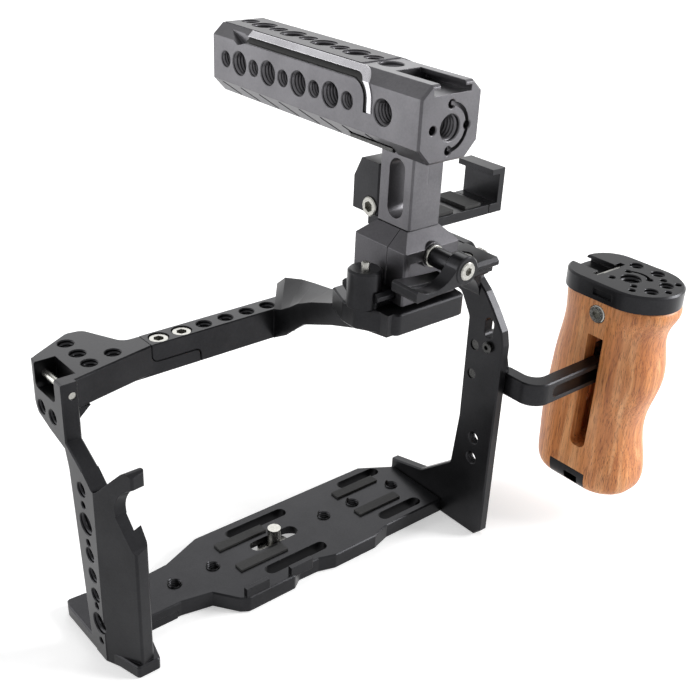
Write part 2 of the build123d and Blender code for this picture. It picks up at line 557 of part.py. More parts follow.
# ---- riser and top handle --------------------------------------------------------------------------
def make_riser_post():
    post = block((-POST_HALF, POST_HALF), (POST_FRONT, POST_BACK), (CLAMP_TOP + 0.25, HANDLE_BOTTOM - SEAM))
    post = chamfer(post.edges().filter_by(Axis.Z), 0.7)
    post -= slot_cutter((-POST_HALF, RAIL_Y - 0.6, 188.4), (1, 0, 0), (0, 0, 1), 4.3, 23.4, 16.0)
    post -= prism_z(dovetail(2.07, 1.0), CLAMP_TOP, HANDLE_BOTTOM)
    for x in RISER_SCREW_XS:
        post -= rod((x, RISER_SCREW_Y, CLAMP_TOP - 1), (0, 0, 1), M4_SHANK, 10.0)
    for y in HANDLE_SCREW_YS:
        post -= rod((0, y, HANDLE_BOTTOM + 1), (0, 0, -1), M4_SHANK, 12.0)
    return post


def make_riser_screws():
    screws = [socket_screw((x, RISER_SCREW_Y, 153.0), (0, 0, 1), M4_HEAD, M4_SHANK, 24.0, 4.0, 1.6)
              for x in RISER_SCREW_XS]
    return Compound(children=screws)


def make_handle_screws():
    screws = [socket_screw((0, y, HANDLE_SEAT + 4.0), (0, 0, -1), M4_HEAD, M4_SHANK, 11.8, 4.0, 1.6)
              for y in HANDLE_SCREW_YS]
    return Compound(children=screws)


def make_handle_body():
    low, high, half = HANDLE_BOTTOM, HANDLE_TOP, HANDLE_HALF
    section = outline([(-half + 5.8, low), (half - 5.8, low), (half, low + 6.0), (half, high - 4.5),
                       (half - 5.0, high), (-half + 5.0, high), (-half, high - 4.5), (-half, low + 6.0)])
    body = prism_y(section, HANDLE_FRONT, HANDLE_BACK)
    body = chamfer(body.faces().sort_by(Axis.Y)[0].edges(), 0.8)
    body = chamfer(body.faces().sort_by(Axis.Y)[-1].edges(), 1.6)

    # holes through the sides, 1/4-20 and 3/8-16 in turn
    for index in (0, 1, 2, 3, 4, 5, 6, 7, 8, 10):
        large = index % 2 == 1 or index == 10
        y = SIDE_ROW_Y - HANDLE_PITCH * index
        size = THREE_EIGHTHS if large else QUARTER
        for side in (-1, 1):
            body -= drill((side * half, y, SIDE_ROW_Z), (-side, 0, 0), size, half + 0.5)
    # top holes
    for index in range(10):
        y = TOP_ROW_Y - HANDLE_PITCH * index
        body -= drill((0, y, high), (0, 0, -1), QUARTER if index % 2 == 0 else THREE_EIGHTHS, 8.0)
    # front: a 3/8-16 hole with four locating pins, three of them joined by a round groove
    front = Plane(origin=(0, HANDLE_FRONT, FRONT_HOLE_Z), x_dir=(1, 0, 0), z_dir=(0, -1, 0))
    body -= drill((0, HANDLE_FRONT, FRONT_HOLE_Z), (0, 1, 0), THREE_EIGHTHS, 13.0)
    for angle in range(0, 360, 90):
        away = (PIN_OFFSET * math.cos(math.radians(angle)), PIN_OFFSET * math.sin(math.radians(angle)))
        body -= drill((away[0], HANDLE_FRONT, FRONT_HOLE_Z + away[1]), (0, 1, 0), PIN_HOLE, 5.0)
    ring = Circle(PIN_OFFSET + 0.8) - Circle(PIN_OFFSET - 0.8)
    ring &= Pos(PIN_OFFSET / 2 + 1, 0) * Rectangle(PIN_OFFSET + 2, 2 * PIN_OFFSET + 4)
    body -= front * extrude(ring, -2.0)
    # cold shoe in the front of the top
    body -= block((-SHOE_HALF, SHOE_HALF), (HANDLE_FRONT - 1, SHOE_END), (high - SHOE_FLOOR, high - SHOE_ROOF))
    body -= block((-SHOE_LIP, SHOE_LIP), (HANDLE_FRONT - 1, SHOE_END), (high - SHOE_FLOOR, high + 1))
    # cups for the screws that hold the riser
    for y in HANDLE_SCREW_YS:
        body -= rod((0, y, low - 1), (0, 0, 1), M4_SHANK + 0.2, 14.0)
        body -= rod((0, y, HANDLE_SEAT), (0, 0, 1), M4_HEAD + 0.2, 228.0 - HANDLE_SEAT)
    # long groove along the upper edge on both sides: it starts in a slanted notch and turns down in front
    bend_y, bend_z = GROOVE_BEND
    inner, outer = GROOVE_RADII
    for side in (-1, 1):
        across = sorted((side * GROOVE_FLOOR, side * (half + 2)))
        body -= block(across, (bend_y, 46.0), (bend_z + inner, bend_z + outer))
        body -= block(across, (bend_y - outer, bend_y - inner), (215.2, bend_z))
        bend = (Circle(outer) - Circle(inner)) & Pos(-10, 10) * Rectangle(20, 20)
        body -= Plane.YZ.offset(across[0]) * (Pos(bend_y, bend_z) * extrude(bend, across[1] - across[0]))
        notch = outline([(64.0, 232.0), (60.0, 232.0), (48.0, bend_z + outer), (44.0, bend_z + outer),
                         (44.0, bend_z + inner), (50.5, 224.8)])
        body -= prism_x(notch, across[0], across[1])
        # finger grooves across the lower edge
        for index in range(8):
            y = 58.6 - 13.5 * index
            tilt = Plane(origin=(side * (half - 2.9), y, low + 3.0), x_dir=(0, 1, 0),
                         z_dir=(side * 0.72, 0, -0.69))
            body -= tilt * (Rot(0, 0, 38 * side) * (Pos(0, 0, -0.9) * extrude(SlotOverall(10.5, 1.3), 3.0)))
    # groove for the hex key under the middle
    body -= block((-13.0, -9.0), (-45.0, -20.0), (low - 1, low + 3.4))
    return body


def make_hex_key():
    lying = Plane(origin=(-10.6, -20.4, HANDLE_BOTTOM + 1.8), z_dir=(0, -1, 0))
    return lying * extrude(RegularPolygon(1.2, 6), 24.0)


# ---- drive clamp behind the riser ------------------------------------------------------------------
def dovetail(half, depth):
    """The key down the riser's back that the bracket slides on, as an outline in X and Y."""
    face = POST_BACK + 0.05
    return outline([(-half, face), (half, face), (half + 0.7, face - depth), (-half - 0.7, face - depth)])


def make_drive_bracket():
    web = outline([(-POST_HALF, BRACKET_BOTTOM), (POST_HALF, BRACKET_BOTTOM), (POST_HALF, BRACKET_TOP),
                   (-POST_HALF, BRACKET_TOP)])
    bracket = prism_y(web, POST_BACK + SEAM, BRACKET_BACK, EDGE)
    bracket -= prism_x(outline([(-24.0, 196.0), (-18.0, 184.0), (-18.0, 196.0)]), -9.0, 9.0)
    bracket += prism_z(dovetail(2.0, 0.9), BRACKET_BOTTOM, BRACKET_TOP)
    bracket += block((1.0, DRIVE_LEFT), (CLAMP_BACK + 0.4, BRACKET_BACK), (DRIVE_BASE, BRACKET_BOTTOM + 0.8))
    bracket += block((15.0, JAW_X - 5.0), (DRIVE_FRONT, DRIVE_BACK), (DRIVE_BASE, DRIVE_FLOOR))
    bracket += block((15.0, DRIVE_LEFT), (DRIVE_FRONT, DRIVE_BACK), (DRIVE_BASE, DRIVE_TOP))
    bracket -= rod((-9.0, PINCH_Y, PINCH_Z), (1, 0, 0), M5_SHANK + RUN, 18.0)
    bracket -= rod((-9.0, PINCH_Y, PINCH_Z), (1, 0, 0), PINCH_HEAD + 0.15, 4.6)
    for y in JAW_GUIDE_YS:
        bracket -= rod((JAW_X - 4.9, y, JAW_SCREW_Z), (-1, 0, 0), JAW_GUIDE_RADIUS + RUN, 26.0)
    bracket -= rod((JAW_X - 4.9, JAW_SCREW_Y, JAW_SCREW_Z), (-1, 0, 0), JAW_SCREW_RADIUS + RUN, 26.0)
    return bracket


def make_bracket_screw():
    head = (-POST_HALF - 0.9, PINCH_Y, PINCH_Z)
    return socket_screw(head, (1, 0, 0), PINCH_HEAD, M5_SHANK, 10.0, 4.4, 2.3)


def make_drive_jaw():
    jaw = block((JAW_X - 4.5, JAW_X + 3.0), (DRIVE_FRONT, DRIVE_BACK), (DRIVE_BASE, DRIVE_FLOOR))
    jaw += block((JAW_X, JAW_X + 3.0), (DRIVE_FRONT, DRIVE_BACK), (DRIVE_BASE, DRIVE_TOP))
    jaw += block((JAW_X - 4.5, JAW_X + 3.0), (DRIVE_FRONT, DRIVE_BACK), (DRIVE_TOP - 2.4, DRIVE_TOP))
    jaw -= rod((JAW_X + 4, JAW_SCREW_Y, JAW_SCREW_Z), (-1, 0, 0), JAW_SCREW_RADIUS + RUN, 12.0)
    for y in JAW_GUIDE_YS:
        jaw -= rod((JAW_X - 5, y, JAW_SCREW_Z), (1, 0, 0), JAW_GUIDE_RADIUS, 6.0)
    return jaw


def make_drive_guide_pins():
    pins = [rod((JAW_X + 1.0, y, JAW_SCREW_Z), (-1, 0, 0), JAW_GUIDE_RADIUS, 22.0) for y in JAW_GUIDE_YS]
    return Compound(children=pins)


def make_drive_jaw_screw():
    screw = rod((JAW_X + 4.0, JAW_SCREW_Y, JAW_SCREW_Z), (-1, 0, 0), JAW_SCREW_RADIUS, 24.9)
    knob = rod((JAW_X + 8.6, JAW_SCREW_Y, JAW_SCREW_Z), (-1, 0, 0), 4.2, 5.4)
    knob = chamfer(knob.edges(), 0.5)
    for index in range(12):
        angle = math.radians(30 * index)
        flute_y = JAW_SCREW_Y + 4.5 * math.cos(angle)
        flute_z = JAW_SCREW_Z + 4.5 * math.sin(angle)
        knob -= rod((JAW_X + 10, flute_y, flute_z), (-1, 0, 0), 0.6, 8.0)
    return screw + knob


def make_drive_pads():
    pads = [block((x, x + 9.0), (DRIVE_FRONT + 1, DRIVE_BACK - 1), (DRIVE_FLOOR, DRIVE_FLOOR + 1.4))
            for x in (22.0, 38.0)]
    return Compound(children=pads)


# ---- side arm and its screws -----------------------------------------------------------------------
def make_side_arm():
    outer_x = RIGHT_FACE + ARM_GAP
    inner_x = outer_x + 7.1
    arm = outline(
        [(outer_x, -27.5), (outer_x, ARM_FRONT), (ARM_END, ARM_FRONT), (ARM_END, ARM_BACK),
         (inner_x, ARM_BACK), (inner_x, -47.5), (inner_x - 3.2, -41.5), (inner_x - 3.2, -27.5)], 6.0,
        [(inner_x, ARM_BACK)])
    corner = min(arm.vertices(), key=lambda v: (v.X - RIGHT_FACE) ** 2 + (v.Y - ARM_FRONT) ** 2)
    arm = prism_z(fillet(corner, 9.5), ARM_BOTTOM, ARM_TOP, EDGE)
    flange = outline([(-27.5, ARM_BOTTOM), (-27.5, 106.0), (-41.5, 106.0), (-47.5, 97.0), (-50.0, 88.0),
                      (-50.0, ARM_BOTTOM)], 4.0, [(-27.5, 106.0), (-41.5, 106.0), (-47.5, 97.0)])
    arm += prism_x(flange, outer_x, outer_x + 3.9, EDGE)
    arm -= slot_cutter((101.0, ARM_FRONT, ARM_MIDDLE), (0, 1, 0), (1, 0, 0), 2.9, 54.0, 8.0)
    for y, z in ARM_SCREWS:
        arm -= rod((RIGHT_FACE, y, z), (1, 0, 0), M5_SHANK + 0.2, 6.0)
    return arm


def make_arm_screws():
    screws = [socket_screw((RIGHT_FACE + 8.55, y, z), (-1, 0, 0), M5_HEAD, M5_SHANK, 8.6, 4.4, 2.3)
              for y, z in ARM_SCREWS]
    return Compound(children=screws)


# ---- wooden grip -----------------------------------------------------------------------------------
def grip_section(z, front, back, half_x, radius):
    """A rounded outline across the grip at a height, from its front to its back."""
    return Pos(GRIP_X, (front + back) / 2, z) * RectangleRounded(2 * half_x, back - front, radius)


def grip_form():
    """The whole outside of the wooden part, before anything is cut into it."""
    sections = [
        grip_section(GRIP_BOTTOM, -85.5, -38.0, 15.5, 14.5), grip_section(23.5, -87.6, -35.6, 18.3, 16.0),
        grip_section(34.0, -87.4, -34.2, 19.2, 17.0), grip_section(50.0, -84.2, -33.4, 18.9, 17.0),
        grip_section(67.0, -86.2, -34.0, 18.5, 17.0), grip_section(86.0, -89.6, -35.6, 18.5, 17.0),
        grip_section(100.0, -87.4, -37.4, 18.5, 17.5), grip_section(112.0, -90.2, -37.6, 19.0, 18.2),
        grip_section(WOOD_TOP - SEAM, -91.2, -37.6, 19.3, 19.0)]
    return loft(sections)


def make_grip_wood():
    wood = grip_form()
    # slot in the left face for the arm, and the wider chamber behind it for the arm's clamp block
    arm_slot = block((95.0, 114.0), (-69.6, -60.9), (43.0, 102.6))
    wood -= fillet(arm_slot.edges().filter_by(Axis.X).group_by(Axis.Z)[0], 3.5)
    wood -= block((112.0, 138.0), (-75.0, -55.5), (43.0, 102.6))
    # screw through the top, the insert at the foot, and the hole that reaches the clamp block's screw
    wood -= rod((95.0, GRIP_SCREW_Y, GRIP_SCREW_Z), (1, 0, 0), M5_HEAD + 0.3, 14.0)
    wood -= rod((100.0, GRIP_SCREW_Y, GRIP_SCREW_Z), (1, 0, 0), M5_SHANK + 0.1, 24.0)
    wood -= block((100.0, 116.0), (-72.55, -51.25), (17.0, 29.95))
    wood -= slot_cutter((BLOCK_SCREW_X, -30.0, ARM_MIDDLE), (0, -1, 0), (0, 0, 1), 4.0, 52.0, 30.0)
    return wood


def cap_outline():
    front = RectangleRounded(2 * GRIP_HALF_X, 2 * CAP_HALF_Y, GRIP_HALF_X - 0.1)
    back = RectangleRounded(2 * GRIP_HALF_X, 2 * CAP_HALF_Y, 15.0)
    back &= Pos(0, 2 * CAP_HALF_Y) * Rectangle(80.0, 4 * CAP_HALF_Y)
    front &= Pos(0, -2 * CAP_HALF_Y) * Rectangle(80.0, 4 * CAP_HALF_Y)
    return Pos(GRIP_X, GRIP_Y) * (front + back)


def make_grip_cap():
    cap = extrude(Pos(0, 0, WOOD_TOP) * cap_outline(), CAP_TOP - WOOD_TOP)
    cap = chamfer(cap.faces().sort_by(Axis.Z)[-1].edges(), 0.9)
    top = CAP_TOP
    # cold shoe that opens at the back, with a cross groove for its leaf spring
    floor, roof = top - SHOE_FLOOR, top - SHOE_ROOF
    cap -= block((CAP_SHOE_X - SHOE_HALF, CAP_SHOE_X + SHOE_HALF), (CAP_SHOE_END, -30.0), (floor, roof))
    cap -= block((CAP_SHOE_X - SHOE_LIP, CAP_SHOE_X + SHOE_LIP), (CAP_SHOE_END, -30.0), (floor, top + 1))
    cap -= block((CAP_SHOE_X - 10.6, CAP_SHOE_X + 10.6), (-56.4, -53.2), (top - 3.2, top + 1))
    # a 3/8-16 hole with four locating pins, two of them joined by a round groove
    cap -= drill((CAP_HOLE_X, CAP_HOLE_Y, top), (0, 0, -1), THREE_EIGHTHS, 9.0)
    for angle in range(45, 360, 90):
        x = CAP_HOLE_X + PIN_OFFSET * math.cos(math.radians(angle))
        y = CAP_HOLE_Y + PIN_OFFSET * math.sin(math.radians(angle))
        cap -= drill((x, y, top), (0, 0, -1), PIN_HOLE, 5.0)
    ring = Circle(PIN_OFFSET + 0.8) - Circle(PIN_OFFSET - 0.8)
    ring &= Pos(PIN_OFFSET, 0) * Rectangle(12.0, 12.0)
    cap -= Pos(CAP_HOLE_X, CAP_HOLE_Y, top) * extrude(ring, -2.0)
    for x, y in ((116.0, -82.5), (127.5, -82.5), (135.7, -72.0), (135.7, -60.0)):
        cap -= drill((x, y, top), (0, 0, -1), QUARTER, 9.0)
    for x, y in ((121.8, -87.5), (131.5, -78.0), (110.0, -76.5), (133.0, -85.0)):
        cap -= drill((x, y, top), (0, 0, -1), PIN_HOLE, 4.0)
    cap -= block((100.0, 104.6), (-71.0, -60.5), (WOOD_TOP + 2.2, WOOD_TOP + 5.4))
    for y in (-45.0, -80.0):
        cap -= rod((112.5, y, WOOD_TOP - 1), (0, 0, 1), M4_SHANK, 6.0)
    return cap


def make_shoe_spring():
    across = (CAP_SHOE_X - 10.4, CAP_SHOE_X + 10.4)
    leaf = block(across, (-56.2, -53.4), (CAP_TOP - 3.1, CAP_TOP - 2.3))
    return leaf + block(across, (-55.4, -54.2), (CAP_TOP - 2.4, CAP_TOP - 1.2))


def make_grip_screw():
    return socket_screw((103.4, GRIP_SCREW_Y, GRIP_SCREW_Z), (1, 0, 0), M5_HEAD, M5_SHANK, 15.0, 4.4, 2.3)


def make_grip_insert():
    insert = grip_form() & block((100.0, 115.9), (-72.5, -51.3), (18.0, 29.9))
    insert -= block((100.0, 111.0), (-68.4, -60.4), (21.6, 26.4))
    return insert


def make_clamp_block():
    body = block((113.5, 131.5), (-74.4, -56.1), (76.5, 92.5))
    body = chamfer(body.edges().filter_by(Axis.X), 1.0)
    body -= block((110.0, 135.0), (ARM_FRONT - 0.15, ARM_BACK + 0.15), (ARM_BOTTOM - 0.2, ARM_TOP + 0.2))
    body -= rod((BLOCK_SCREW_X, -80.0, ARM_MIDDLE), (0, 1, 0), M5_SHANK + RUN, 30.0)
    body -= rod((BLOCK_SCREW_X, -59.6, ARM_MIDDLE), (0, 1, 0), M5_HEAD - 0.3, 5.0)
    return body


def make_block_screw():
    head = (BLOCK_SCREW_X, -56.4, ARM_MIDDLE)
    return socket_screw(head, (0, -1, 0), M5_HEAD - 0.6, M5_SHANK, 14.2, 3.2, 2.1)


# ---- write one file per sub-part -------------------------------------------------------------------
PARTS = {
    "left_frame": make_left_frame,
    "strap_pin": make_strap_pin,
    "top_frame": make_top_frame,
    "lap_screws": make_lap_screws,
    "right_plate": make_right_plate,
    "right_plate_screws": make_right_plate_screws,
    "window_screw": make_window_screw,
    "bottom_plate": make_bottom_plate,
    "base_screws": make_base_screws,
    "base_pads": make_base_pads,
    "camera_screw": make_camera_screw,
    "rail": make_rail,
    "rail_screws": make_rail_screws,
    "rail_end_screw": make_rail_end_screw,
    "rail_stop": make_rail_stop,
    "stop_pin": make_stop_pin,
    "stop_spring": make_stop_spring,
    "clamp_body": make_clamp_body,
    "clamp_jaw": make_clamp_jaw,
    "jaw_guide_pins": make_jaw_guide_pins,
    "clamp_screw": make_clamp_screw,
    "clamp_collar": make_clamp_collar,
    "clamp_lever": make_clamp_lever,
    "lever_screw": make_lever_screw,
    "riser_post": make_riser_post,
    "riser_screws": make_riser_screws,
    "handle_body": make_handle_body,
    "handle_screws": make_handle_screws,
    "hex_key": make_hex_key,
    "drive_bracket": make_drive_bracket,
    "bracket_screw": make_bracket_screw,
    "drive_jaw": make_drive_jaw,
    "drive_guide_pins": make_drive_guide_pins,
    "drive_jaw_screw": make_drive_jaw_screw,
    "drive_pads": make_drive_pads,
    "side_arm": make_side_arm,
    "arm_screws": make_arm_screws,
    "clamp_block": make_clamp_block,
    "block_screw": make_block_screw,
    "grip_wood": make_grip_wood,
    "grip_cap": make_grip_cap,
    "shoe_spring": make_shoe_spring,
    "grip_screw": make_grip_screw,
    "grip_insert": make_grip_insert,
}

os.makedirs("parts", exist_ok=True)
for name, make in PARTS.items():
    export_step(make(), os.path.join("parts", name + ".step"))
    print("wrote", name)
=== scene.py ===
# %% [markdown]
# # A camera cage with its finishes and fine parts
#
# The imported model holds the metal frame, the handle, the clamps and the wooden grip as separate
# solids that already sit in the right place. They could be modelled again by hand, but then they
# would drift away from the joints. So they are loaded as a fixed frame, and only finishes and
# finer pieces are added round them.

# %% Load the frame
import json
import math

import bpy
from mathutils import Matrix, Vector


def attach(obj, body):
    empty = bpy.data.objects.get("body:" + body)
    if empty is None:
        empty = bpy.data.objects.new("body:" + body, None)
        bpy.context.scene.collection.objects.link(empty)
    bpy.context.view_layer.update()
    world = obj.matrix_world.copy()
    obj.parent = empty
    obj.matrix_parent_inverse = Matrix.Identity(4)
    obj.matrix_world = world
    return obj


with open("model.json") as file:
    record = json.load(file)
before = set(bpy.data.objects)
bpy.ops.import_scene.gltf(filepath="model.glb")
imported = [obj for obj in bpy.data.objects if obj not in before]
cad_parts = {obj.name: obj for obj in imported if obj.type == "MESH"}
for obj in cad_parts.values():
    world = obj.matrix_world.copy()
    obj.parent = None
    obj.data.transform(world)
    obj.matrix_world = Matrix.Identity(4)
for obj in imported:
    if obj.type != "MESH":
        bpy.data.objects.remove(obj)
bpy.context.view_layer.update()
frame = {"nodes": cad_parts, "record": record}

MM = 0.001
nodes = frame["nodes"]
record = frame["record"]
bpy.ops.object.select_all(action="DESELECT")

# %% [markdown]
# ## Camera
#
# A product is usually shown from above one corner, through a slightly long lens. The view is
# fixed by where the camera stands, which way it looks and how far it is tilted sideways. It could
# be aimed with a constraint, but a plain matrix built from three directions is exact, and it
# can't be disturbed later.

# %% Place the camera
CAMERA_AT = Vector((-265.6, -316.8, 314.0)) * MM
AZIMUTH = math.radians(-41.176)
ELEVATION = math.radians(27.436)
ROLL = math.radians(2.907)
LENS = 53.575               # mm, on a sensor this wide
SENSOR = 36.0

backward = Vector((math.sin(AZIMUTH) * math.cos(ELEVATION),
                   -math.cos(AZIMUTH) * math.cos(ELEVATION),
                   math.sin(ELEVATION)))
level = Vector((math.cos(AZIMUTH), math.sin(AZIMUTH), 0.0))
upward = backward.cross(level)
right = level * math.cos(ROLL) + upward * math.sin(ROLL)
top = upward * math.cos(ROLL) - level * math.sin(ROLL)

camera_data = bpy.data.cameras.new("studio_camera")
camera_data.lens = LENS
camera_data.sensor_width = SENSOR
camera = bpy.data.objects.new("studio_camera", camera_data)
turned_to = Matrix((right, top, backward)).transposed().to_4x4()
camera.matrix_world = Matrix.Translation(CAMERA_AT) @ turned_to
bpy.context.scene.collection.objects.link(camera)
bpy.context.scene.camera = camera
bpy.context.scene.view_settings.view_transform = "Standard"
print("camera", round(CAMERA_AT.length, 3), "m from the origin")

# %% [markdown]
# ## Colours and shader nodes
#
# Colours are easiest to write as the hex codes that a paint program shows. Those codes are in
# sRGB, while Blender computes in linear light, so one function turns one into the other. A second
# small function adds a shader node, fills in its settings and joins its inputs, which keeps each
# finish down to a few lines.

# %% Turn hex codes into linear light
def linear(code):
    """An sRGB hex code as linear red, green, blue and alpha."""
    values = [int(code[i:i + 2], 16) / 255 for i in (1, 3, 5)]
    return [v / 12.92 if v <= 0.04045 else ((v + 0.055) / 1.055) ** 2.4 for v in values] + [1.0]


print("middle grey #808080 is", round(linear("#808080")[0], 3), "of white in linear light")

# %% Add nodes and start a material
def add_node(tree, kind, settings=None, links=None):
    """Adds a node. Settings fill its sockets, properties or ramp, and links join its inputs."""
    node = tree.nodes.new(kind)
    for name, value in (settings or {}).items():
        if name == "stops":
            stops = node.color_ramp.elements
            while len(stops) < len(value):
                stops.new(0.5)
            for stop, (position, code) in zip(stops, value):
                stop.position = position
                stop.color = linear(code)
        elif isinstance(name, str) and name not in node.inputs:
            setattr(node, name, value)
        else:
            node.inputs[name].default_value = value
    for name, source in (links or {}).items():
        tree.links.new(source, node.inputs[name])
    return node


def new_material(name):
    """An empty material's node tree, its Principled shader and Object coordinates."""
    material = bpy.data.materials.new(name)
    material.use_nodes = True
    tree = material.node_tree
    tree.nodes.clear()
    shader = add_node(tree, "ShaderNodeBsdfPrincipled")
    add_node(tree, "ShaderNodeOutputMaterial", links={"Surface": shader.outputs["BSDF"]})
    place = add_node(tree, "ShaderNodeTexCoord").outputs["Object"]
    print("new finish", name)
    return material, tree, shader, place


print("two helpers ready: add_node and new_material")

# %% [markdown]
# ## Anodised aluminium
#
# The frame is machined aluminium, blasted with fine beads and then dyed black in an acid bath.
# The oxide is thin and part of the metal, so the surface keeps a soft metallic sheen instead of a
# paint's clear gloss. A flat black would look like plastic. A dark metal with a fine blasted bump
# and slightly uneven roughness gives the satin look.

# %% Anodised finishes
BLAST_GRAIN = 0.9 * MM      # real grit is about 0.1 mm; drawn coarser, so that it shows
BLAST_DEPTH = 0.1 * MM
BLAST_STRENGTH = 0.12
GRAIN_SHARE = 0.45          # how much the grain colours the dye, beside the patches
DYE_PATCH = 18 * MM         # how wide the faint patches of the dye are
SOFT_EDGE = 0.35 * MM       # machined edges are broken this much, and catch the light
OXIDE_METALLIC = 0.85       # the oxide film dulls the metal a little


def anodised(name, dark, light, low_rough, high_rough):
    material, tree, shader, place = new_material(name)
    patches = add_node(tree, "ShaderNodeTexNoise",
                       {"Scale": 1 / DYE_PATCH, "Detail": 3.0, "Roughness": 0.6},
                       {"Vector": place})
    grain = add_node(tree, "ShaderNodeTexNoise", {"Scale": 1 / BLAST_GRAIN, "Detail": 2.0},
                     {"Vector": place})
    mixed = add_node(tree, "ShaderNodeMath", {"operation": "MULTIPLY_ADD", 1: GRAIN_SHARE},
                     {0: grain.outputs["Fac"], 2: patches.outputs["Fac"]})
    colour = add_node(tree, "ShaderNodeValToRGB", {"stops": [(0.5, dark), (0.95, light)]},
                      {"Fac": mixed.outputs["Value"]})
    rough = add_node(tree, "ShaderNodeMapRange", {"To Min": low_rough, "To Max": high_rough},
                     {"Value": patches.outputs["Fac"]})
    edge = add_node(tree, "ShaderNodeBevel", {"samples": 4, "Radius": SOFT_EDGE})
    bump = add_node(tree, "ShaderNodeBump", {"Strength": BLAST_STRENGTH, "Distance": BLAST_DEPTH},
                    {"Height": grain.outputs["Fac"], "Normal": edge.outputs["Normal"]})
    tree.links.new(colour.outputs["Color"], shader.inputs["Base Color"])
    tree.links.new(rough.outputs["Result"], shader.inputs["Roughness"])
    tree.links.new(bump.outputs["Normal"], shader.inputs["Normal"])
    shader.inputs["Metallic"].default_value = OXIDE_METALLIC
    return material


cage_black = anodised("black_anodised_aluminium", "#202022", "#2a2a2c", 0.26, 0.38)
handle_black = anodised("grey_black_anodised_aluminium", "#4f4e51", "#5d5c5f", 0.28, 0.40)
clamp_black = anodised("charcoal_anodised_aluminium", "#424144", "#4f4e51", 0.28, 0.40)

# %% [markdown]
# ## Turned steel
#
# The screws and pins are bright stainless steel, turned on a lathe, so they mirror the room in a
# slightly blurred way. A full metal with a pale grey colour does this. A fine noise stands for
# the turning marks. The hex key under the handle and the screws in the right plate are blackened
# in hot oil, and take the same finish in a dark colour.

# %% Steel finishes
TURNING_MARK = 0.8 * MM     # real marks are about 0.05 mm apart; drawn coarser, so that they show
STEEL_ROUGHNESS = {"To Min": 0.2, "To Max": 0.36}


def turned(name, dark, light):
    material, tree, shader, place = new_material(name)
    marks = add_node(tree, "ShaderNodeTexNoise", {"Scale": 1 / TURNING_MARK, "Detail": 2.0},
                     {"Vector": place})
    colour = add_node(tree, "ShaderNodeValToRGB", {"stops": [(0.3, dark), (0.7, light)]},
                      {"Fac": marks.outputs["Fac"]})
    rough = add_node(tree, "ShaderNodeMapRange", STEEL_ROUGHNESS, {"Value": marks.outputs["Fac"]})
    tree.links.new(colour.outputs["Color"], shader.inputs["Base Color"])
    tree.links.new(rough.outputs["Result"], shader.inputs["Roughness"])
    shader.inputs["Metallic"].default_value = 1.0
    return material


steel = turned("turned_stainless_steel", "#92918c", "#aaa9a4")
black_steel = turned("blackened_steel", "#3a3a3a", "#4b4b4a")

# %% [markdown]
# ## Oiled hardwood
#
# The grip is milled from one block of reddish hardwood, with the grain up and down, then sanded
# and oiled, which leaves a low, even gloss. Such wood shows three things: broad bands of growth,
# a faint fine fibre, and thin dark pores as short streaks. A wood texture could be wrapped round
# the grip, but it would show a seam. Each of the three is a noise through the whole block
# instead, stretched along the height, at its own width.

# %% Wood finish
# Width across and length up the grip, and how the noise breaks up. Real pores are about 0.2 mm
# wide, and here they are twice as wide, so that they show.
WOOD_GRAIN = {
    "bands": (6 * MM, 110 * MM, {"Detail": 3.0, "Distortion": 0.6}),
    "pores": (0.4 * MM, 7 * MM, {"Detail": 3.0, "Roughness": 0.65}),
    "fibre": (1.4 * MM, 45 * MM, {"Detail": 2.0}),
}
# Positions in the noise, and their colours. The fibre and the pores darken the bands.
WOOD_COLOURS = {
    "bands": [(0.3, "#cd8044"), (0.5, "#e2985a"), (0.7, "#f3b67f")],
    "fibre": [(0.3, "#b08468"), (0.7, "#ffffff")],
    "pores": [(0.34, "#6d3d20"), (0.48, "#ffffff")],
}
WOOD_DARKENING = {"fibre": 0.55, "pores": 0.7}
PORE_DEPTH = 0.15 * MM
PORE_STRENGTH = 0.25
OILED_ROUGHNESS = 0.42


def hardwood():
    material, tree, shader, place = new_material("oiled_hardwood")
    noise = {}
    for feature, (width, length, breakup) in WOOD_GRAIN.items():
        along = add_node(tree, "ShaderNodeMapping", {"Scale": (1 / width, 1 / width, 1 / length)},
                         {"Vector": place})
        noise[feature] = add_node(tree, "ShaderNodeTexNoise", {"Scale": 1.0, **breakup},
                                  {"Vector": along.outputs["Vector"]}).outputs["Fac"]
    tint = {feature: add_node(tree, "ShaderNodeValToRGB", {"stops": stops},
                              {"Fac": noise[feature]}).outputs["Color"]
            for feature, stops in WOOD_COLOURS.items()}
    colour = tint["bands"]
    for feature, share in WOOD_DARKENING.items():
        colour = add_node(tree, "ShaderNodeMix",
                          {"data_type": "RGBA", "blend_type": "MULTIPLY", 0: share},
                          {6: colour, 7: tint[feature]}).outputs[2]
    bump = add_node(tree, "ShaderNodeBump", {"Strength": PORE_STRENGTH, "Distance": PORE_DEPTH},
                    {"Height": noise["pores"]})
    tree.links.new(colour, shader.inputs["Base Color"])
    tree.links.new(bump.outputs["Normal"], shader.inputs["Normal"])
    shader.inputs["Roughness"].default_value = OILED_ROUGHNESS
    return material


wood = hardwood()

# %% [markdown]
# ## Rubber
#
# Thin strips of black rubber keep the camera and the drive from being scratched. Rubber has
# almost no gloss and is never quite black. One flat dark grey would do from afar, and faint
# specks keep it from looking like a hole in the metal.

# %% Rubber finish
RUBBER_SPECK = 1.2 * MM     # the mould's texture is finer; drawn coarser, so that it shows
RUBBER_ROUGHNESS = 0.75


